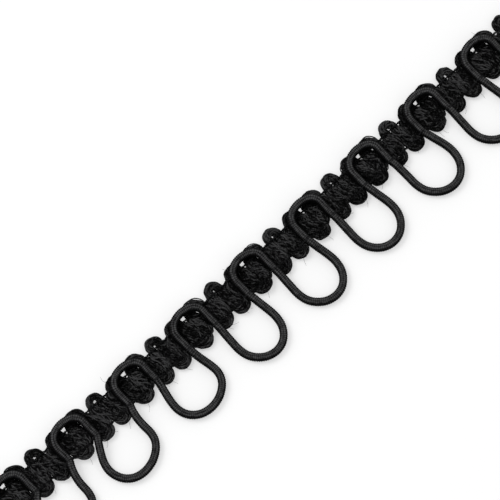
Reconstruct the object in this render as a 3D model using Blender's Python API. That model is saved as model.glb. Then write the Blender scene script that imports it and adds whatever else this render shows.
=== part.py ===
# A cut length of elastic loop tape: one thick zigzag yarn makes the band and its small ears, two
# stitch threads pin it along its edges, and a round elastic cord snakes over it in button loops.
# X runs along the tape, +Y towards the ears, -Y towards the button loops and +Z off the table.
# While the pieces are drawn, y = 0 is the upper stitch line. They are centred at the end.

import math
from collections import namedtuple

import bmesh
import bpy
from mathutils import Vector

# Driving dimensions, in millimetres
MM = 0.001
REPEAT = 15.0          # length of one pattern repeat, from arch to arch
REPEATS = 10
LINE_GAP = 4.42        # upper stitch line to lower stitch line
GAP = 0.3              # clearance between one piece and the next

# The zigzag yarn, flat on the table
EAR_REACH = 1.67       # centre of the yarn above the upper line, at the top of an ear
SCALLOP_REACH = 1.02   # centre of the yarn below the lower line, at the foot of a scallop
TURN_WIDTH = 1.50      # the yarn is plump in its turns and spreads further in its runs
TURN_HEIGHT = 1.25
SCALLOP_NECK_HEIGHT = 1.05           # where a scallop starts, beside the cord
END_ROOM = 0.6         # length of the straight piece of a scallop that ends at a cut
PINCH_WIDTH = 1.50
UPPER_PINCH_HEIGHT = 0.90            # where a stitch thread squeezes it
LOWER_PINCH_HEIGHT = 0.95
RUN_LEVELS = (-1.00, -3.42)          # y of the full-width sections of a run
TURN_ANGLES = (15.0, 52.0, 90.0, 128.0, 165.0)
# Yarn outline as shares of its half width and of its height, flat underneath
YARN_OUTLINE = (
    (-0.55, 0.0), (0.55, 0.0), (1.0, 0.28), (1.0, 0.62),
    (0.55, 1.0), (-0.55, 1.0), (-1.0, 0.62), (-1.0, 0.28),
)

# The elastic cord
CORD_RADIUS = 0.78     # to the corners of its eight sides
CORD_FLAT = CORD_RADIUS * math.cos(math.pi / 8)
ARCH_HALF_WIDTH = 3.30
ARCH_TOP = 1.55        # y of the cord's centre at the top of an arch
ARCH_LEAN = 0.20       # how far the top of an arch leans to the right
ARCH_FOOT = -1.20      # y where the arch runs straight down into the band
ARCH_SQUARENESS = 2.15
ARCH_ANGLES = (180, 165, 145, 120, 90, 60, 35, 15, 0)
LEG_LEVELS = (-2.4, -LINE_GAP, -5.4, -6.9, -8.7)
BELLY_Y = -10.4        # y where a button loop is widest
BELLY_ANGLES = (0, 20, 38, 56, 72)
CUT_LENGTH = 0.5       # straight end of the cord at each cut

# The stitch threads
THREAD_RADIUS = 0.15
THREAD_LIFT = 0.15     # the yarn swells on both sides of a thread, which lies this much higher for it
UPPER_THREAD_Z = UPPER_PINCH_HEIGHT + GAP + THREAD_RADIUS + THREAD_LIFT
LOWER_THREAD_Z = LOWER_PINCH_HEIGHT + GAP + THREAD_RADIUS + THREAD_LIFT
THREAD_DIP = 0.04      # how far a thread sags where no yarn is under it

# One repeat's runs from an arch's centre rightwards: x at the upper line, in the middle and at the
# lower line, and the run's width and height. The first goes up from its scallop, the next down, and
# so on. The flanks are low because the cord lies beside them.
Run = namedtuple("Run", "upper_x middle_x lower_x width height")
RUNS = {
    "centre right": Run(1.68, 1.52, 1.08, 2.36, 1.60),
    "flank right": Run(4.18, 4.62, 4.36, 1.56, 1.30),
    "inner right": Run(6.82, 6.52, 6.46, 1.64, 1.60),
    "inner left": Run(8.78, 8.72, 8.62, 1.94, 1.60),
    "flank left": Run(11.35, 10.70, 10.70, 1.42, 1.20),
    "centre left": Run(13.70, 13.85, 13.92, 2.28, 1.60),
}

# The ten button loops from the left: width between the cord's centres, y of the tip, and how far
# the loop leans to the right at its belly and at its tip
Loop = namedtuple("Loop", "width tip_y belly_lean tip_lean")
LOOPS = (
    Loop(9.60, -15.10, -1.20, -1.50),
    Loop(10.10, -14.95, -2.20, -2.90),
    Loop(10.25, -15.00, -1.60, -2.20),
    Loop(10.15, -14.80, 0.10, -0.30),
    Loop(9.20, -15.40, 0.45, 0.62),
    Loop(9.35, -15.45, 0.62, 0.80),
    Loop(9.30, -15.50, 0.66, 0.60),
    Loop(9.50, -15.50, 1.08, 1.30),
    Loop(9.30, -15.45, 0.62, 0.66),
    Loop(9.25, -15.40, 0.50, 0.75),
)

# Height of the cord's centre along its way: over the ears, down into the band and onto the table
Level = namedtuple("Level", "y z")
CORD_LEVELS = (
    Level(1.55, 2.40),
    Level(0.90, 2.50),
    Level(0.00, 2.78),
    Level(-1.20, 2.36),
    Level(-2.30, 2.12),
    Level(-3.40, 2.12),
    Level(-4.42, 2.04),
    Level(-5.40, 1.95),
    Level(-6.60, 1.50),
    Level(-8.50, 1.06),
    Level(-10.50, 0.84),
    Level(-12.60, CORD_FLAT),
    Level(-15.60, CORD_FLAT),
)


def clear_scene():
    for item in list(bpy.data.objects):
        bpy.data.objects.remove(item, do_unlink=True)


def fibre_material(name, colour, roughness):
    material = bpy.data.materials.new(name)
    material.use_nodes = True
    shader = material.node_tree.nodes["Principled BSDF"]
    shader.inputs["Base Color"].default_value = (*colour, 1.0)
    shader.inputs["Roughness"].default_value = roughness
    shader.inputs["Metallic"].default_value = 0.0
    return material


def add_piece(name, data, material):
    piece = bpy.data.objects.new(name, data)
    bpy.context.scene.collection.objects.link(piece)
    data.materials.append(material)
    return piece


def blend(share):
    """Runs from 0 to 1, level at both ends."""
    share = min(max(share, 0.0), 1.0)
    return share * share * (3.0 - 2.0 * share)


def turn_sections(start_x, end_x, line_y, reach):
    """The round turn of the yarn beyond a stitch line, from one run to the next."""
    neck_height = TURN_HEIGHT if reach > 0 else SCALLOP_NECK_HEIGHT
    middle = (start_x + end_x) / 2
    half = (start_x - end_x) / 2
    straight = max(abs(reach) - abs(half), 0.0)
    rise = abs(reach) - straight
    side = math.copysign(1.0, reach)
    sections = []
    for angle in TURN_ANGLES:
        turned = math.radians(angle)
        x = middle + half * math.cos(turned)
        y = line_y + side * (straight + rise * math.sin(turned))
        height = neck_height if angle in (TURN_ANGLES[0], TURN_ANGLES[-1]) else TURN_HEIGHT
        sections.append((x, y, TURN_WIDTH, height))
    return sections


def run_sections(run, shift):
    """A run from the upper line to the lower one."""
    upper = (shift + run.upper_x, 0.0, PINCH_WIDTH, UPPER_PINCH_HEIGHT)
    lower = (shift + run.lower_x, -LINE_GAP, PINCH_WIDTH, LOWER_PINCH_HEIGHT)
    full = [(shift + run.middle_x, y, run.width, run.height) for y in RUN_LEVELS]
    return [upper, *full, lower]


def yarn_sections():
    """Every section of the yarn (x, y, width, height), from the left cut end to the right one."""
    left_end = -REPEAT * REPEATS / 2
    foot_y = -LINE_GAP - SCALLOP_REACH
    half_foot = RUNS["centre right"].lower_x
    sections = [(left_end, foot_y, TURN_WIDTH, TURN_HEIGHT)]
    first = turn_sections(left_end - half_foot, left_end + half_foot, -LINE_GAP, -SCALLOP_REACH)
    sections += [section for section in first if section[0] > left_end + END_ROOM]
    runs = [(run, left_end + REPEAT * number) for number in range(REPEATS) for run in RUNS.values()]
    for place, (run, shift) in enumerate(runs):
        goes_up = place % 2 == 0
        sections += run_sections(run, shift)[:: -1 if goes_up else 1]
        if place + 1 == len(runs):
            break
        after, after_shift = runs[place + 1]
        if goes_up:
            sections += turn_sections(shift + run.upper_x, after_shift + after.upper_x, 0.0, EAR_REACH)
        else:
            ends = (shift + run.lower_x, after_shift + after.lower_x)
            sections += turn_sections(*ends, -LINE_GAP, -SCALLOP_REACH)
    right_end = -left_end
    last = turn_sections(right_end - half_foot, right_end + half_foot, -LINE_GAP, -SCALLOP_REACH)
    sections += [section for section in last if section[0] < right_end - END_ROOM]
    sections.append((right_end, foot_y, TURN_WIDTH, TURN_HEIGHT))
    return sections


def make_yarn():
    sections = yarn_sections()
    places = [Vector(section[:2]) for section in sections]
    form = bmesh.new()
    rings = []
    for index, (x, y, width, height) in enumerate(sections):
        heading = places[min(index + 1, len(places) - 1)] - places[max(index - 1, 0)]
        if index in (0, len(places) - 1):
            heading = Vector((1.0, 0.0))
        heading.normalize()
        across = Vector((heading.y, -heading.x))
        ring = []
        for side, up in YARN_OUTLINE:
            offset = across * (side * width / 2)
            ring.append(form.verts.new(((x + offset.x) * MM, (y + offset.y) * MM, up * height * MM)))
        rings.append(ring)
    count = len(YARN_OUTLINE)
    for before, after in zip(rings, rings[1:]):
        for corner in range(count):
            following = (corner + 1) % count
            form.faces.new((before[corner], before[following], after[following], after[corner]))
    form.faces.new(rings[0])
    form.faces.new(rings[-1])
    bmesh.ops.recalc_face_normals(form, faces=form.faces)
    mesh = bpy.data.meshes.new("zigzag_yarn")
    form.to_mesh(mesh)
    form.free()
    mesh.shade_smooth()
    return add_piece("zigzag_yarn", mesh, fibre_material("yarn_fibre", (0.014, 0.014, 0.015), 0.85))


def add_tube(name, points, radius, resolution, tilt, material):
    """A round tube with closed ends along the points, kept upright with one side turned by the tilt."""
    curve = bpy.data.curves.new(name, "CURVE")
    curve.dimensions = "3D"
    curve.twist_mode = "Z_UP"
    curve.bevel_depth = radius * MM
    curve.bevel_resolution = resolution
    curve.use_fill_caps = True
    spline = curve.splines.new("POLY")
    spline.points.add(len(points) - 1)
    for point, (x, y, z) in zip(spline.points, points):
        point.co = (x * MM, y * MM, z * MM, 1.0)
        point.tilt = tilt
    return add_piece(name, curve, material)


def cord_height(y):
    """Height of the cord's centre at this distance from the upper line."""
    for above, below in zip(CORD_LEVELS, CORD_LEVELS[1:]):
        if y >= below.y:
            share = min(max((above.y - y) / (above.y - below.y), 0.0), 1.0)
            return above.z + (below.z - above.z) * share
    return CORD_LEVELS[-1].z


def arch_points(centre_x, angles):
    """The cord over the ears, from its left foot (180 degrees) to its right foot (0)."""
    points = []
    power = 2.0 / ARCH_SQUARENESS
    for angle in angles:
        turned = math.radians(angle)
        across = math.copysign(abs(math.cos(turned)) ** power, math.cos(turned))
        up = math.sin(turned) ** power if angle not in (0, 180) else 0.0
        x = centre_x + ARCH_HALF_WIDTH * across + ARCH_LEAN * up
        points.append((x, ARCH_FOOT + (ARCH_TOP - ARCH_FOOT) * up))
    return points


def loop_points(number):
    """One button loop, from the band down its left side, round its tip and back up."""
    loop = LOOPS[number]
    middle = REPEAT * (number + 0.5 - REPEATS / 2)
    neck_half = REPEAT / 2 - ARCH_HALF_WIDTH
    drop = BELLY_Y - loop.tip_y
    left = []
    for y in LEG_LEVELS:
        share = blend((y + LINE_GAP) / (BELLY_Y + LINE_GAP))
        half = neck_half + (loop.width / 2 - neck_half) * share
        lean = loop.belly_lean * math.sin(0.5 * math.pi * max((y + LINE_GAP) / (BELLY_Y + LINE_GAP), 0.0))
        left.append((middle + lean, -half, y))
    for angle in BELLY_ANGLES:
        turned = math.radians(angle)
        lean = loop.belly_lean + (loop.tip_lean - loop.belly_lean) * math.sin(turned) ** 2
        left.append((middle + lean, -loop.width / 2 * math.cos(turned), BELLY_Y - drop * math.sin(turned)))
    down = [(centre + half, y) for centre, half, y in left]
    up = [(centre - half, y) for centre, half, y in reversed(left)]
    return [*down, (middle + loop.tip_lean, loop.tip_y), *up]


def make_cord():
    left_end = -REPEAT * REPEATS / 2
    flat = [(left_end, ARCH_TOP), (left_end + CUT_LENGTH, ARCH_TOP)]
    flat += arch_points(left_end, [angle for angle in ARCH_ANGLES if angle < 90])
    for number in range(REPEATS):
        flat += loop_points(number)
        if number + 1 < REPEATS:
            flat += arch_points(left_end + REPEAT * (number + 1), ARCH_ANGLES)
    flat += arch_points(-left_end, [angle for angle in ARCH_ANGLES if angle > 90])
    flat += [(-left_end - CUT_LENGTH, ARCH_TOP), (-left_end, ARCH_TOP)]
    points = [(x, y, cord_height(y)) for x, y in flat]
    material = fibre_material("cord_cover", (0.022, 0.022, 0.023), 0.7)
    return add_tube("elastic_cord", points, CORD_RADIUS, 2, math.pi / 8, material)


def make_upper_thread():
    """Along the upper line, over every leg of the yarn and under the cord's arches."""
    points = []
    for number in range(REPEATS):
        shift = REPEAT * (number - REPEATS / 2)
        legs = [shift + run.upper_x for run in RUNS.values()]
        points.append((shift, 0.0, UPPER_THREAD_Z))
        for left_leg, right_leg in zip(legs, [*legs[1:], None]):
            points.append((left_leg, 0.0, UPPER_THREAD_Z))
            if right_leg is not None:
                points.append(((left_leg + right_leg) / 2, 0.0, UPPER_THREAD_Z - THREAD_DIP))
    points.append((-points[0][0], 0.0, UPPER_THREAD_Z))
    return add_tube("upper_stitch_thread", points, THREAD_RADIUS, 1, 0.0, thread_material())


def make_lower_thread():
    """Along the lower line, over the yarn and round the top of the cord at each of its legs."""
    clear = CORD_RADIUS + GAP + THREAD_RADIUS
    corner = clear * math.tan(math.pi / 8)
    cord_z = cord_height(-LINE_GAP)
    around = ((-clear, corner), (-corner, clear), (corner, clear), (clear, corner))
    _, flank_right, inner_right, inner_left, flank_left, _ = [run.lower_x for run in RUNS.values()]
    points = []
    for number in range(REPEATS):
        shift = REPEAT * (number - REPEATS / 2)
        right_leg = shift + ARCH_HALF_WIDTH
        left_leg = shift + REPEAT - ARCH_HALF_WIDTH
        points.append((shift, LOWER_THREAD_Z))
        points.append((right_leg - clear - GAP, LOWER_THREAD_Z))
        points += [(right_leg + aside, cord_z + above) for aside, above in around]
        points.append((shift + (flank_right + inner_right) / 2, LOWER_THREAD_Z))
        points.append((shift + (inner_right + inner_left) / 2, LOWER_THREAD_Z - THREAD_DIP))
        points.append((shift + (inner_left + flank_left) / 2, LOWER_THREAD_Z))
        points += [(left_leg + aside, cord_z + above) for aside, above in around]
        points.append((left_leg + clear + GAP, LOWER_THREAD_Z))
    points.append((-points[0][0], LOWER_THREAD_Z))
    route = [(x, -LINE_GAP, z) for x, z in points]
    return add_tube("lower_stitch_thread", route, THREAD_RADIUS, 1, 0.0, thread_material())


def thread_material():
    return fibre_material("stitch_thread", (0.008, 0.008, 0.009), 0.6)


def centre_on_table(pieces):
    """Puts the origin under the middle of the whole tape."""
    graph = bpy.context.evaluated_depsgraph_get()
    ys = []
    for piece in pieces:
        shape = piece.evaluated_get(graph)
        ys += [vertex.co.y for vertex in shape.to_mesh().vertices]
        shape.to_mesh_clear()
    for piece in pieces:
        piece.location.y = -(min(ys) + max(ys)) / 2


def main():
    clear_scene()
    centre_on_table([make_yarn(), make_cord(), make_upper_thread(), make_lower_thread()])


main()
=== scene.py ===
import math
import random

import bmesh
import bpy
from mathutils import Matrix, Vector, kdtree, noise


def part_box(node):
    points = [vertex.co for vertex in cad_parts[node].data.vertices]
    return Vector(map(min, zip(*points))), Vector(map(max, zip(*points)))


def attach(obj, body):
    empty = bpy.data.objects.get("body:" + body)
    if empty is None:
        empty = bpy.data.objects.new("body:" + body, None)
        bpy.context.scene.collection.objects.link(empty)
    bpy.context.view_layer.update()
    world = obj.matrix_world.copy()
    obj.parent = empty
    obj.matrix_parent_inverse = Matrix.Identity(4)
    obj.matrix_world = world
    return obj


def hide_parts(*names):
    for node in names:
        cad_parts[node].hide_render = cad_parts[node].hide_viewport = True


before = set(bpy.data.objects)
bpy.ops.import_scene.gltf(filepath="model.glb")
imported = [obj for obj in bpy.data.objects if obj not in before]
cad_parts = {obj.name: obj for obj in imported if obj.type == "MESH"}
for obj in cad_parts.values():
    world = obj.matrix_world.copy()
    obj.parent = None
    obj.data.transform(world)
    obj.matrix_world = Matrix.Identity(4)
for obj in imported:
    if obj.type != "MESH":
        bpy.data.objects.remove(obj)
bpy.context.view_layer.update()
mm = 0.001

# Pattern shared by every piece, in millimetres. y = 0 is the upper stitch line here.
tape = {
    "repeat": 15.0,
    "repeats": 10,
    "lineGap": 4.42,
    "archTop": 1.55,
    "archFoot": -1.20,
    "archHalfWidth": 3.38,
    "archShift": 0.12,
    "neckHalf": 4.20,
    "archSquareness": 2.15,
    "archLean": 0.15,
    "cordReach": 0.7206,
}
leftEnd = -tape["repeat"] * tape["repeats"] / 2
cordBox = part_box("elastic_cord")
# Where the upper stitch line lies in the frame
lineY = cordBox[1][1] / mm - tape["archTop"] - tape["cordReach"]


def curvePoint(a, b, c, d, t):
    # A Catmull-Rom curve between b and c, for t from 0 to 1
    slope = c - a
    bend = 2 * a - 5 * b + 4 * c - d
    turn = 3 * b - a - 3 * c + d
    return 0.5 * (2 * b + slope * t + bend * t * t + turn * t ** 3)


def resample(rows, step):
    # A smooth curve through rows of numbers, read at nearly even steps along x, y and z
    dense = []
    padded = [rows[0], *rows, rows[-1]]
    for index in range(len(rows) - 1):
        before, here, there, after = padded[index:index + 4]
        length = math.dist(here[:3], there[:3])
        count = max(1, round(length / step))
        for part in range(count):
            t = part / count
            dense.append([curvePoint(*numbers, t) for numbers in zip(before, here, there, after)])
    dense.append(list(rows[-1]))
    return dense


def makeTube(name, strands, sides, relief=None):
    # Strands are lists of (x, y, z, radius, tone) in millimetres, each made a closed round tube.
    # Every vertex is told how far along its strand it lies, where it is round it (0 is on top, 1 and
    # -1 underneath) and its tone. relief gives the extra radius at a distance along and a side.
    form = bmesh.new()
    marks = {"along": [], "around": [], "tone": []}
    for strand in strands:
        position = 0.0
        before = None
        for index, (x, y, z, radius, tone) in enumerate(strand):
            here = Vector((x, y, z))
            last = Vector(strand[max(index - 1, 0)][:3])
            heading = (Vector(strand[min(index + 1, len(strand) - 1)][:3]) - last).normalized()
            position += (here - last).length
            aside = Vector((heading.y, -heading.x, 0.0)).normalized()
            up = aside.cross(heading)
            ring = []
            for side in range(sides):
                around = 2 * side / sides - 1
                reach = radius + (relief(position, side) if relief else 0.0)
                turned = math.pi * around
                x, y, z = here + aside * (reach * math.sin(turned)) + up * (reach * math.cos(turned))
                ring.append(form.verts.new((x * mm, (y + lineY) * mm, z * mm)))
                marks["along"].append(position)
                marks["around"].append(around)
                marks["tone"].append(tone)
            if before:
                for side in range(sides):
                    following = (side + 1) % sides
                    form.faces.new((before[side], before[following], ring[following], ring[side]))
            else:
                form.faces.new(ring)
            before = ring
        form.faces.new(before)
    bmesh.ops.recalc_face_normals(form, faces=form.faces)
    mesh = bpy.data.meshes.new(name)
    form.to_mesh(mesh)
    form.free()
    mesh.shade_smooth()
    for mark, values in marks.items():
        mesh.attributes.new(mark, "FLOAT", "POINT").data.foreach_set("value", values)
    piece = bpy.data.objects.new(name, mesh)
    bpy.context.scene.collection.objects.link(piece)
    print(name, len(mesh.polygons), "faces")
    return piece


def ridge(position, seed, scale):
    # Smooth noise between -1 and 1 along a strand
    return noise.noise(Vector((position * scale, seed * 7.31, seed * 1.7)))


# The zigzag yarn: x at the upper line, in the middle, at the lower line, and the run's width and height
yarn = {
    "runs": [
        (1.66, 1.70, 1.20, 3.50, 1.95),
        (4.02, 4.68, 4.43, 2.50, 1.70),
        (6.81, 6.62, 6.33, 2.65, 1.95),
        (8.87, 8.70, 8.75, 2.65, 1.95),
        (11.66, 10.64, 10.59, 2.40, 1.65),
        (13.94, 13.90, 14.15, 3.20, 1.95),
    ],
    # reach and thickness of the ears right of an arch's centre, between the arches and left of one
    "ears": [(1.60, 2.42), (1.74, 1.72), (1.42, 1.90)],
    "scallopReach": 0.93,
    "scallopWidth": 2.00,
    "turnHeight": 1.45,
    "pinchShare": 0.76,
    "pinchHeight": 1.35,
    # y of the rows between the stitch lines, and how far each moves towards the run's lower x
    "runLevels": [(-0.70, 0.2), (-2.0, 0.0), (-3.5, 0.45)],
    "turnAngles": (8, 35, 62, 90, 118, 145, 172),
    "endRoom": 0.2,
    "strands": 48,
    "coreLanes": (-0.6, 0.0, 0.6),
    "coreShare": 0.33,
    "coreLift": 0.47,
    "strandRadius": 0.124,
    "turnStrandRadius": 0.114,
    "twistLength": 17.0,
    "flatness": 0.65,
    "farthest": 1.08,
    # how much each thing varies, how quickly along a strand, and its seed
    "uneven": {
        "winding": (1.3, 0.31, 1),
        "reach": (0.35, 0.6, 41),
        "sideways": (0.13, 1.5, 81),
        "upwards": (0.13, 1.5, 121),
        "thickness": (0.30, 0.9, 161),
        "patch": (1.20, 1.7, 201),
        "fleck": (0.55, 3.1, 241),
        "ear": (0.12, 0.9, 401),
    },
    "middleTone": 0.46,
    "strandTone": 0.35,
    "strandPhase": 2.4,
    # painted shade by height: the two values below scale a strand's tone by its height in mm, so lower
    # strands and the low ears are drawn darker
    "paintedShadeLow": 0.15,
    "paintedShadeRise": 0.55,
    "step": 0.28,
    "sides": 4,
    "pieces": 5,
    # painted shade beside the cord: strands within shadeReach mm of its side, above shadeEndY, are drawn
    # darker, as the shade under and inside the arches
    "shadeReach": 0.75,
    "shadeEndY": -3.6,
    "shadeStep": 0.4,
}


def unevenness(name, position, number):
    amount, pace, seed = yarn["uneven"][name]
    return amount * ridge(position, number + seed, pace)


def turnRows(startX, endX, edgeY, reach, thickness):
    middle = (startX + endX) / 2
    half = (startX - endX) / 2
    straight = max(abs(reach) - abs(half), 0.0)
    rise = abs(reach) - straight
    side = math.copysign(1.0, reach)
    rows = []
    for angle in yarn["turnAngles"]:
        turned = math.radians(angle)
        x = middle + half * math.cos(turned)
        y = edgeY + side * (straight + rise * math.sin(turned))
        rows.append([x, y, 0.0, thickness, yarn["turnHeight"], yarn["turnStrandRadius"]])
    return rows


def runRows(run, shift):
    upperX, middleX, lowerX, width, height = run
    pinch = [width * yarn["pinchShare"], yarn["pinchHeight"], yarn["turnStrandRadius"]]
    full = [width, height, yarn["strandRadius"]]
    rows = [[shift + upperX, 0.0, 0.0, *pinch]]
    for y, share in yarn["runLevels"]:
        rows.append([shift + middleX + (lowerX - middleX) * share, y, 0.0, *full])
    rows.append([shift + lowerX, -tape["lineGap"], 0.0, *pinch])
    return rows


def yarnRows():
    # x, y, 0, width, height and strand radius along the whole zigzag, from cut end to cut end
    low = -tape["lineGap"]
    halfFoot = yarn["runs"][0][2]
    endY = low - yarn["scallopReach"]
    end = [endY, 0.0, yarn["scallopWidth"], yarn["turnHeight"], yarn["turnStrandRadius"]]
    rows = [[leftEnd, *end]]
    scallop = (low, -yarn["scallopReach"], yarn["scallopWidth"])
    first = turnRows(leftEnd - halfFoot, leftEnd + halfFoot, *scallop)
    rows += [row for row in first if row[0] > leftEnd + yarn["endRoom"]]
    shifts = [leftEnd + tape["repeat"] * number for number in range(tape["repeats"])]
    runs = [(run, shift) for shift in shifts for run in yarn["runs"]]
    for place, (run, shift) in enumerate(runs):
        goesUp = place % 2 == 0
        rows += reversed(runRows(run, shift)) if goesUp else runRows(run, shift)
        if place + 1 == len(runs):
            break
        after, afterShift = runs[place + 1]
        if goesUp:
            reach, thickness = yarn["ears"][place // 2 % 3]
            thickness *= 1.0 + unevenness("ear", place, 0)
            rows += turnRows(shift + run[0], afterShift + after[0], 0.0, reach, thickness)
        else:
            rows += turnRows(shift + run[2], afterShift + after[2], *scallop)
    last = turnRows(-leftEnd - halfFoot, -leftEnd + halfFoot, *scallop)
    rows += [row for row in last if row[0] < -leftEnd - yarn["endRoom"]]
    rows.append([-leftEnd, *end])
    return rows


def makeYarn():
    rows = resample(yarnRows(), yarn["step"])
    route = cordRoute(yarn["shadeStep"])
    cordPlaces = kdtree.KDTree(len(route))
    for index, (x, y, _) in enumerate(route):
        cordPlaces.insert((x, y, 0.0), index)
    cordPlaces.balance()
    across = []
    for index in range(len(rows)):
        before = rows[max(index - 1, 0)]
        after = rows[min(index + 1, len(rows) - 1)]
        heading = Vector((after[0] - before[0], after[1] - before[1])).normalized()
        across.append(Vector((heading.y, -heading.x)))
    strands = []
    golden = math.pi * (3 - math.sqrt(5))
    for number in range(yarn["strands"]):
        share = math.sqrt((number + 0.5) / yarn["strands"])
        start = number * golden
        position = 0.0
        strand = []
        for index, (x, y, _, width, height, radius) in enumerate(rows):
            if index:
                position += math.dist(rows[index - 1][:2], (x, y))
            winding = start + 2 * math.pi * position / yarn["twistLength"]
            angle = winding + unevenness("winding", position, number)
            reach = min(share * (1.0 + unevenness("reach", position, number)), yarn["farthest"])
            sideways = math.copysign(abs(math.cos(angle)) ** yarn["flatness"], math.cos(angle))
            aside = reach * sideways * (width / 2 - radius) + unevenness("sideways", position, number)
            up = reach * math.sin(angle) * (height / 2 - radius) + unevenness("upwards", position, number)
            size = radius * (1.0 + unevenness("thickness", position, number))
            z = max(height / 2 + up, size)
            x += across[index].x * aside
            y += across[index].y * aside
            lit = yarn["middleTone"] + yarn["strandTone"] * math.sin(number * yarn["strandPhase"])
            lit += unevenness("patch", position, number)
            lit += unevenness("fleck", position, number)
            # Painted shade: the tone is darkened close to the cord's side, above shadeEndY
            beside = cordPlaces.find((x, y, 0.0))[2] - cord["radius"]
            shade = min(max(beside / yarn["shadeReach"], 0.0), 1.0) if y > yarn["shadeEndY"] else 1.0
            # Painted shade: the tone is scaled down the lower a strand lies
            tone = min(max(lit * shade * (yarn["paintedShadeLow"] + yarn["paintedShadeRise"] * z), 0.0), 1.0)
            strand.append((x, y, z, size, tone))
        strands.append(strand)
    # The cores fill each run's middle and carry tone 0, painted shade for the dark depths between the
    # strands
    for lane in yarn["coreLanes"]:
        core = []
        for (x, y, _, width, height, _), side in zip(rows, across):
            radius = height * yarn["coreShare"]
            aside = lane * (width / 2 - radius)
            core.append((x + side.x * aside, y + side.y * aside, height * yarn["coreLift"], radius, 0.0))
        strands.append(core)
    length = len(rows) // yarn["pieces"]
    pieces = []
    for part in range(yarn["pieces"]):
        stop = len(rows) if part + 1 == yarn["pieces"] else length * (part + 1) + 1
        cut = [strand[length * part:stop] for strand in strands]
        pieces.append(makeTube(f"yarnStrands{part + 1}", cut, yarn["sides"]))
    return pieces


# The elastic cord, with the same way as its solid
cord = {
    "radius": 0.76,
    "ribPitch": 0.37,
    "ribHeight": 0.06,
    "ribMiddle": 0.3,
    "ribSwell": 0.7,
    "grooveDepth": 0.9,
    "sides": 16,
    "straightEnd": 0.5,
    "coarseStep": 0.8,
    "footFade": 4,
    "archAngles": (180, 165, 145, 120, 90, 60, 35, 15, 0),
    "legLevels": (-2.4, -4.42, -5.4, -6.9, -8.7),
    "bellyY": -10.4,
    "bellyAngles": (0, 20, 38, 56, 72),
    # width between the cord's centres, y of the tip, lean at the belly and at the tip
    "loops": [
        (9.60, -15.10, -1.20, -1.50),
        (10.10, -14.95, -2.20, -2.90),
        (10.25, -15.00, -1.60, -2.20),
        (10.15, -14.80, 0.10, -0.30),
        (9.20, -15.40, 0.45, 0.62),
        (9.35, -15.45, 0.62, 0.80),
        (9.30, -15.50, 0.66, 0.60),
        (9.50, -15.50, 1.08, 1.30),
        (9.30, -15.45, 0.62, 0.66),
        (9.25, -15.40, 0.50, 0.75),
    ],
    # y and height of the cord's centre
    "levels": [
        (1.55, 2.40), (0.90, 2.50), (0.00, 2.60), (-1.20, 2.36), (-2.30, 2.12), (-3.40, 2.12), (-4.42, 2.04),
        (-5.40, 1.95), (-6.60, 1.50), (-8.50, 1.06), (-10.50, 0.84), (-12.60, 0.80), (-15.60, 0.80),
    ],
}


def cordHeight(y):
    levels = cord["levels"]
    for (aboveY, aboveZ), (belowY, belowZ) in zip(levels, levels[1:]):
        if y >= belowY:
            share = min(max((aboveY - y) / (aboveY - belowY), 0.0), 1.0)
            return aboveZ + (belowZ - aboveZ) * share
    return levels[-1][1]


def archPoints(centreX, angles):
    power = 2.0 / tape["archSquareness"]
    points = []
    for angle in angles:
        turned = math.radians(angle)
        across = math.copysign(abs(math.cos(turned)) ** power, math.cos(turned))
        up = math.sin(turned) ** power if angle not in (0, 180) else 0.0
        y = tape["archFoot"] + (tape["archTop"] - tape["archFoot"]) * up
        x = centreX + tape["archShift"] + tape["archHalfWidth"] * across + tape["archLean"] * up
        points.append((x, y))
    return points


def loopPoints(number):
    width, tipY, bellyLean, tipLean = cord["loops"][number]
    middle = leftEnd + tape["repeat"] * (number + 0.5)
    neckHalf = tape["neckHalf"]
    footHalf = tape["repeat"] / 2 - tape["archHalfWidth"]
    left = []
    for y in cord["legLevels"]:
        share = min(max((y + tape["lineGap"]) / (cord["bellyY"] + tape["lineGap"]), 0.0), 1.0)
        fade = (1.0 - share) ** cord["footFade"]
        widening = (width / 2 - neckHalf) * share * share * (3.0 - 2.0 * share)
        half = neckHalf + widening + (footHalf - neckHalf) * fade
        lean = bellyLean * math.sin(0.5 * math.pi * share) + tape["archShift"] * fade
        left.append((middle + lean, -half, y))
    for angle in cord["bellyAngles"]:
        turned = math.radians(angle)
        lean = bellyLean + (tipLean - bellyLean) * math.sin(turned) ** 2
        y = cord["bellyY"] - (cord["bellyY"] - tipY) * math.sin(turned)
        left.append((middle + lean, -width / 2 * math.cos(turned), y))
    down = [(centre + half, y) for centre, half, y in left]
    up = [(centre - half, y) for centre, half, y in reversed(left)]
    return [*down, (middle + tipLean, tipY), *up]


def cordRoute(step):
    flat = [(leftEnd, tape["archTop"]), (leftEnd + cord["straightEnd"], tape["archTop"])]
    flat += archPoints(leftEnd, [angle for angle in cord["archAngles"] if angle < 90])
    for number in range(tape["repeats"]):
        flat += loopPoints(number)
        if number + 1 < tape["repeats"]:
            flat += archPoints(leftEnd + tape["repeat"] * (number + 1), cord["archAngles"])
    flat += archPoints(-leftEnd, [angle for angle in cord["archAngles"] if angle > 90])
    flat += [(-leftEnd - cord["straightEnd"], tape["archTop"]), (-leftEnd, tape["archTop"])]
    rows = [[x, y, cordHeight(y)] for x, y in flat]
    return resample(resample(rows, cord["coarseStep"]), step)


def makeCord():
    route = [(x, y, z, cord["radius"], 0.5) for x, y, z in cordRoute(cord["ribPitch"] / 4)]
    return makeTube("elasticCord", [route], cord["sides"], braidRelief)


def braidRelief(position, side):
    # Eight columns of stitches round the cord, each half a stitch on from the last
    if side % 2 == 0:
        return -cord["grooveDepth"] * cord["ribHeight"]
    turn = 2 * math.pi * position / cord["ribPitch"] + math.pi * (side // 2 % 2)
    return (cord["ribMiddle"] + cord["ribSwell"] * math.cos(turn)) * cord["ribHeight"]


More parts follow.
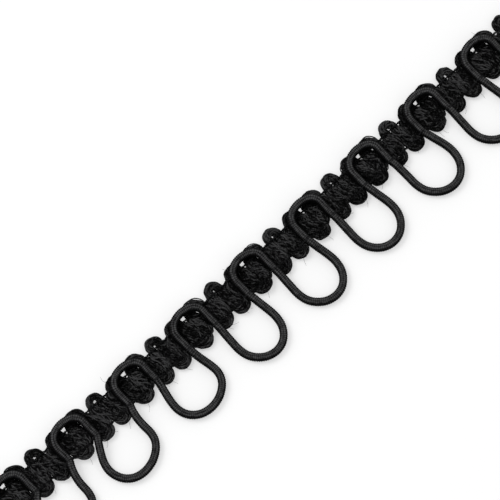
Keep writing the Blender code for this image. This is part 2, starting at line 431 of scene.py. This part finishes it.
# The two stitch threads, each a pair of plies wound round the solid's way
thread = {
    "plyRadius": 0.12,
    "plyOffset": 0.13,
    "twist": 1.3,
    "step": 0.16,
    "upperY": 0.18,
    "upperZ": 1.36,
    "lowerZ": 1.34,
    "dip": 0.05,
    "clear": 0.86,
    "approach": 0.3,
    "thin": 0.42,
    "sides": 6,
    "tone": 0.35,
    "toneSwing": 0.4,
    "tonePace": 1.2,
    "toneSeed": 301,
    "thinTone": 0.9,
}


def upperThreadRoute():
    points = []
    for number in range(tape["repeats"]):
        shift = leftEnd + tape["repeat"] * number
        legs = [shift + run[0] for run in yarn["runs"]]
        points.append([shift, thread["upperY"], thread["upperZ"], 1.0])
        for leg, following in zip(legs, [*legs[1:], None]):
            points.append([leg, thread["upperY"], thread["upperZ"], 1.0])
            if following is not None:
                between = (leg + following) / 2
                points.append([between, thread["upperY"], thread["upperZ"] - thread["dip"], 1.0])
    points.append([-leftEnd, thread["upperY"], thread["upperZ"], 1.0])
    return points


def lowerThreadRoute():
    # Thinner where it crosses over the cord's legs
    low = -tape["lineGap"]
    cordZ = cordHeight(low)
    clear = thread["clear"]
    corner = clear * math.tan(math.pi / 8)
    around = ((-clear, corner), (-corner, clear), (corner, clear), (clear, corner))
    legs = [run[2] for run in yarn["runs"]]
    points = []
    for number in range(tape["repeats"]):
        shift = leftEnd + tape["repeat"] * number
        rightLeg = shift + tape["archHalfWidth"]
        leftLeg = shift + tape["repeat"] - tape["archHalfWidth"]
        points.append([shift, low, thread["lowerZ"], 1.0])
        points.append([rightLeg - clear - thread["approach"], low, thread["lowerZ"], 1.0])
        points += [[rightLeg + aside, low, cordZ + above, thread["thin"]] for aside, above in around]
        points.append([shift + (legs[1] + legs[2]) / 2, low, thread["lowerZ"], 1.0])
        points.append([shift + (legs[2] + legs[3]) / 2, low, thread["lowerZ"] - thread["dip"], 1.0])
        points.append([shift + (legs[3] + legs[4]) / 2, low, thread["lowerZ"], 1.0])
        points += [[leftLeg + aside, low, cordZ + above, thread["thin"]] for aside, above in around]
        points.append([leftLeg + clear + thread["approach"], low, thread["lowerZ"], 1.0])
    points.append([-leftEnd, low, thread["lowerZ"], 1.0])
    return points


def makeThread(name, route):
    rows = resample(route, thread["step"])
    plies = []
    for ply in range(2):
        position = 0.0
        points = []
        for index, (x, y, z, width) in enumerate(rows):
            if index:
                position += math.dist(rows[index - 1][:3], (x, y, z))
            angle = 2 * math.pi * position / thread["twist"] + math.pi * ply
            offset = thread["plyOffset"] * width
            swing = ridge(position, ply + thread["toneSeed"], thread["tonePace"])
            tone = thread["tone"] + thread["toneSwing"] * swing + thread["thinTone"] * (1.0 - width)
            centre = (y + offset * math.cos(angle), z + offset * math.sin(angle))
            points.append((x, *centre, thread["plyRadius"] * width, tone))
        plies.append(points)
    return makeTube(name, plies, thread["sides"])


# Fine stray filaments that stand off the scallops and the ears
stray = {
    "perRepeat": 5,
    "scallops": (0.1, 5.4, 9.7),
    "ears": (2.9, 7.8, 12.7),
    "belowShare": 0.9,
    "footSpread": 0.8,
    "startBelow": (-0.2, 0.5),
    "startAbove": (1.5, 2.0),
    "headingBelow": (-2.6, -0.5),
    "headingAbove": (0.5, 2.6),
    "startHeight": (0.3, 1.0),
    "bend": 0.5,
    "points": 9,
    "drop": 0.04,
    "lowest": 0.05,
    "radius": 0.022,
    "taper": (1.1, 0.05),
    "tone": 0.7,
    "sides": 4,
    "length": (0.9, 2.2),
    "seed": 5,
}


def makeStrays():
    chance = random.Random(stray["seed"])
    low = -tape["lineGap"] - yarn["scallopReach"]
    widest, narrowing = stray["taper"]
    strands = []
    for number in range(tape["repeats"]):
        shift = leftEnd + tape["repeat"] * number
        for _ in range(stray["perRepeat"]):
            below = chance.random() < stray["belowShare"]
            foot = chance.choice(stray["scallops"] if below else stray["ears"])
            foot += chance.uniform(-stray["footSpread"], stray["footSpread"])
            y = low - chance.uniform(*stray["startBelow"]) if below else chance.uniform(*stray["startAbove"])
            heading = chance.uniform(*stray["headingBelow" if below else "headingAbove"])
            bend = chance.uniform(-stray["bend"], stray["bend"])
            length = chance.uniform(*stray["length"])
            x = shift + foot
            z = chance.uniform(*stray["startHeight"])
            strand = []
            for step in range(stray["points"]):
                size = stray["radius"] * (widest - narrowing * step)
                strand.append((x, y, z, size, stray["tone"]))
                x += math.cos(heading) * length / (stray["points"] - 1)
                y += math.sin(heading) * length / (stray["points"] - 1)
                z = max(z - stray["drop"], stray["lowest"])
                heading += bend / 2
            if abs(strand[-1][0]) < -leftEnd and abs(strand[0][0]) < -leftEnd:
                strands.append(strand)
    return makeTube("strayFibres", strands, stray["sides"])


def attribute(nodes, name):
    node = nodes.new("ShaderNodeAttribute")
    node.attribute_name = name
    return node.outputs["Fac"]


def formula(nodes, links, operation, *values):
    # A math node fed by sockets or plain numbers
    node = nodes.new("ShaderNodeMath")
    node.operation = operation
    for socket, value in zip(node.inputs, values):
        if isinstance(value, (int, float)):
            socket.default_value = value
        else:
            links.new(value, socket)
    return node.outputs[0]


def noiseAt(nodes, links, x, y, z, detail):
    place = nodes.new("ShaderNodeCombineXYZ")
    for socket, value in zip(place.inputs, (x, y, z)):
        links.new(value, socket)
    texture = nodes.new("ShaderNodeTexNoise")
    texture.inputs["Scale"].default_value = 1.0
    texture.inputs["Detail"].default_value = detail
    links.new(place.outputs["Vector"], texture.inputs["Vector"])
    return texture.outputs["Fac"]


# Filaments on a strand: how many lie round it, how quickly light changes, and how strongly
fibre = {
    "lanes": 7.0,
    "seedSpread": 3.0,
    "filamentPace": 1.3,
    "filamentDetail": 3.0,
    "filamentSwing": (0.9, -0.45),
    "patchPace": 3.4,
    "patchDetail": 2.0,
    "patchSwing": (2.4, -1.2),
}


def fibreGroup():
    # Filaments that run along each strand, and the light and dark patches of a bulky yarn
    group = bpy.data.node_groups.new("fibres", "ShaderNodeTree")
    face = group.interface
    for name in ("Tone", "Relief"):
        face.new_socket(name, in_out="OUTPUT", socket_type="NodeSocketFloat")
    nodes, links = group.nodes, group.links
    end = nodes.new("NodeGroupOutput")
    along, around, tone = (attribute(nodes, name) for name in ("along", "around", "tone"))
    lane = formula(nodes, links, "MULTIPLY", around, fibre["lanes"])
    seed = formula(nodes, links, "MULTIPLY", tone, fibre["seedSpread"])
    slow = formula(nodes, links, "MULTIPLY", along, fibre["filamentPace"])
    filaments = noiseAt(nodes, links, slow, lane, seed, fibre["filamentDetail"])
    quick = formula(nodes, links, "MULTIPLY", along, fibre["patchPace"])
    patches = noiseAt(nodes, links, quick, around, seed, fibre["patchDetail"])
    spread = formula(nodes, links, "MULTIPLY_ADD", patches, *fibre["patchSwing"])
    fine = formula(nodes, links, "MULTIPLY_ADD", filaments, *fibre["filamentSwing"])
    mixed = formula(nodes, links, "ADD", formula(nodes, links, "ADD", tone, spread), fine)
    links.new(formula(nodes, links, "MAXIMUM", mixed, 0.0), end.inputs["Tone"])
    links.new(filaments, end.inputs["Relief"])
    return group


# The elastic's cover. Each pair is a factor and what is added to it
braid = {
    "columns": 4,
    "slant": 1.2,
    # painted light on the cord's top, fading to painted shade down its sides, never darker than the next
    # value
    "paintedTopLight": (-5.3, 1.95),
    "paintedSideShade": 0.02,
    "columnRound": 0.4,
    "stitchSwing": (0.62, 0.38),
    "patchLanes": 12.0,
    "patchPace": 1.4,
    "patchDetail": 4.0,
    "patchSwing": (2.8, -0.55),
}


def braidGroup():
    # The elastic's cover: stitches in columns, with painted shade between the columns, painted light on top
    # and painted shade down its sides
    group = bpy.data.node_groups.new("braid", "ShaderNodeTree")
    face = group.interface
    for name in ("Tone", "Relief"):
        face.new_socket(name, in_out="OUTPUT", socket_type="NodeSocketFloat")
    nodes, links = group.nodes, group.links
    end = nodes.new("NodeGroupOutput")
    along, around, tone = (attribute(nodes, name) for name in ("along", "around", "tone"))
    wound = formula(nodes, links, "MULTIPLY", around, braid["columns"] * math.pi)
    column = formula(nodes, links, "ABSOLUTE", formula(nodes, links, "SINE", wound))
    slant = formula(nodes, links, "MULTIPLY", column, braid["slant"])
    turned = formula(nodes, links, "MULTIPLY", along, 2 * math.pi / cord["ribPitch"])
    rib = formula(nodes, links, "SINE", formula(nodes, links, "ADD", turned, slant))
    stitches = formula(nodes, links, "MULTIPLY_ADD", rib, 0.5, 0.5)
    # Painted light on the cord's top and painted shade down its sides, from where a vertex lies round the
    # cord
    paintedTopLight = formula(nodes, links, "MULTIPLY_ADD", formula(nodes, links, "ABSOLUTE", around), *braid["paintedTopLight"])
    paintedTopLight = formula(nodes, links, "MINIMUM", formula(nodes, links, "MAXIMUM", paintedTopLight, braid["paintedSideShade"]), 1.0)
    lane = formula(nodes, links, "MULTIPLY", around, braid["patchLanes"])
    slow = formula(nodes, links, "MULTIPLY", along, braid["patchPace"])
    patches = noiseAt(nodes, links, slow, lane, tone, braid["patchDetail"])
    # Painted shade in the grooves: the tone drops between the columns and between the stitches
    rounded = formula(nodes, links, "POWER", column, braid["columnRound"])
    swell = formula(nodes, links, "MULTIPLY_ADD", stitches, *braid["stitchSwing"])
    weaveGrooveShade = formula(nodes, links, "MULTIPLY", rounded, swell)
    lit = formula(nodes, links, "MULTIPLY", weaveGrooveShade, paintedTopLight)
    mottle = formula(nodes, links, "MULTIPLY_ADD", patches, *braid["patchSwing"])
    links.new(formula(nodes, links, "MULTIPLY", lit, mottle), end.inputs["Tone"])
    links.new(formula(nodes, links, "MULTIPLY", column, stitches), end.inputs["Relief"])
    return group


# Shared by the three fibre materials
finish = {
    "refraction": 1.3,
    "darkUpTo": 0.12,
    "lightFrom": 0.95,
}


def fibreMaterial(name, group, look):
    material = bpy.data.materials.new(name)
    material.use_nodes = True
    nodes, links = material.node_tree.nodes, material.node_tree.links
    shader = nodes["Principled BSDF"]
    shader.inputs["IOR"].default_value = finish["refraction"]
    shader.inputs["Specular IOR Level"].default_value = look["specular"]
    fibres = nodes.new("ShaderNodeGroup")
    fibres.node_tree = group
    tone = nodes.new("ShaderNodeValToRGB")
    tone.color_ramp.elements[0].position = finish["darkUpTo"]
    tone.color_ramp.elements[0].color = (*look["dark"], 1.0)
    tone.color_ramp.elements[1].position = finish["lightFrom"]
    tone.color_ramp.elements[1].color = (*look["light"], 1.0)
    rough = nodes.new("ShaderNodeMapRange")
    rough.inputs["To Min"].default_value = look["roughness"][0]
    rough.inputs["To Max"].default_value = look["roughness"][1]
    bump = nodes.new("ShaderNodeBump")
    bump.inputs["Strength"].default_value = look["bump"]
    bump.inputs["Distance"].default_value = look["relief"] * mm
    links.new(fibres.outputs["Tone"], tone.inputs["Fac"])
    links.new(fibres.outputs["Tone"], rough.inputs["Value"])
    links.new(fibres.outputs["Relief"], bump.inputs["Height"])
    links.new(tone.outputs["Color"], shader.inputs["Base Color"])
    links.new(rough.outputs["Result"], shader.inputs["Roughness"])
    links.new(bump.outputs["Normal"], shader.inputs["Normal"])
    return material


looks = {
    "yarn": {"dark": (0.0012, 0.0012, 0.0012), "light": (0.052, 0.052, 0.053), "roughness": (0.9, 0.65),
             "specular": 0.10, "bump": 0.8, "relief": 0.08},
    "cord": {"dark": (0.0008, 0.0008, 0.0009), "light": (0.066, 0.066, 0.067), "roughness": (0.8, 0.5),
             "specular": 0.10, "bump": 0.9, "relief": 0.06},
    "thread": {"dark": (0.0010, 0.0010, 0.0010), "light": (0.014, 0.014, 0.015), "roughness": (0.8, 0.6),
               "specular": 0.10, "bump": 0.6, "relief": 0.04},
}


def dress(piece, material, nodes):
    piece.data.materials.clear()
    piece.data.materials.append(material)
    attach(piece, "root")
    for node in nodes:
        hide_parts(node)


# Camera as the photograph was taken: from above and a little in front, with a long lens
camera = {
    "target": (3.34, 1.97, 0.0),
    "turn": 44.48,
    "tilt": 19.0,
    "distance": 747.0,
    "lens": 293.9,
    "sensor": 36.0,
    "nearest": 0.01,
    "farthest": 5.0,
}


def makeCamera():
    turn = math.radians(camera["turn"])
    tilt = math.radians(camera["tilt"])
    forward = Vector((math.sin(turn) * math.sin(tilt), math.cos(turn) * math.sin(tilt), -math.cos(tilt)))
    x, y, z = camera["target"]
    target = Vector((x, y + lineY, z)) * mm
    data = bpy.data.cameras.new("photoCamera")
    data.lens = camera["lens"]
    data.sensor_width = camera["sensor"]
    data.clip_start = camera["nearest"]
    data.clip_end = camera["farthest"]
    eye = bpy.data.objects.new("photoCamera", data)
    eye.location = target - forward * camera["distance"] * mm
    eye.rotation_euler = forward.to_track_quat("-Z", "Y").to_euler()
    bpy.context.scene.collection.objects.link(eye)
    bpy.context.scene.camera = eye


# A plain pale floor with a little glow of its own, in metres
ground = {
    "halfSize": 1.5,
    "shade": (0.50, 0.50, 0.50, 1.0),
    "glow": (1.0, 1.0, 1.0, 1.0),
    "glowStrength": 0.44,
    "roughness": 0.9,
    "specular": 0.1,
}


def makeFloor():
    form = bmesh.new()
    bmesh.ops.create_grid(form, x_segments=1, y_segments=1, size=ground["halfSize"])
    mesh = bpy.data.meshes.new("floor")
    form.to_mesh(mesh)
    form.free()
    floor = bpy.data.objects.new("floor", mesh)
    bpy.context.scene.collection.objects.link(floor)
    material = bpy.data.materials.new("floorWhite")
    material.use_nodes = True
    shader = material.node_tree.nodes["Principled BSDF"]
    shader.inputs["Base Color"].default_value = ground["shade"]
    shader.inputs["Emission Color"].default_value = ground["glow"]
    shader.inputs["Emission Strength"].default_value = ground["glowStrength"]
    shader.inputs["Roughness"].default_value = ground["roughness"]
    shader.inputs["Specular IOR Level"].default_value = ground["specular"]
    mesh.materials.append(material)


# An even white room and one large round lamp behind the tape, in metres and watts
studio = {
    "colour": (1.0, 1.0, 1.0, 1.0),
    "strength": 0.86,
    "lampSize": 0.5,
    "lampPower": 3.0,
    "lampPlace": (-0.25, 0.50, 0.65),
}


def makeLight():
    world = bpy.data.worlds.new("studio")
    world.use_nodes = True
    background = world.node_tree.nodes["Background"]
    background.inputs["Color"].default_value = studio["colour"]
    background.inputs["Strength"].default_value = studio["strength"]
    bpy.context.scene.world = world
    data = bpy.data.lights.new("keyLight", "AREA")
    data.shape = "DISK"
    data.size = studio["lampSize"]
    data.energy = studio["lampPower"]
    key = bpy.data.objects.new("keyLight", data)
    key.location = studio["lampPlace"]
    key.rotation_euler = (Vector((0, 0, 0)) - key.location).to_track_quat("-Z", "Y").to_euler()
    bpy.context.scene.collection.objects.link(key)
    bpy.context.scene.view_settings.view_transform = "Standard"


makeCamera()
makeFloor()
makeLight()
print("camera, floor and light are set")
fibres = fibreGroup()
yarnLook = fibreMaterial("yarnFibre", fibres, looks["yarn"])
cordLook = fibreMaterial("cordCover", braidGroup(), looks["cord"])
threadLook = fibreMaterial("stitchThread", fibres, looks["thread"])
for piece in makeYarn():
    dress(piece, yarnLook, ["zigzag_yarn"])
print("yarn is laid")
dress(makeCord(), cordLook, ["elastic_cord"])
print("cord is laid")
dress(makeThread("upperStitches", upperThreadRoute()), threadLook, ["upper_stitch_thread"])
dress(makeThread("lowerStitches", lowerThreadRoute()), threadLook, ["lower_stitch_thread"])
print("threads are laid")
dress(makeStrays(), yarnLook, [])
print("stray fibres are set")
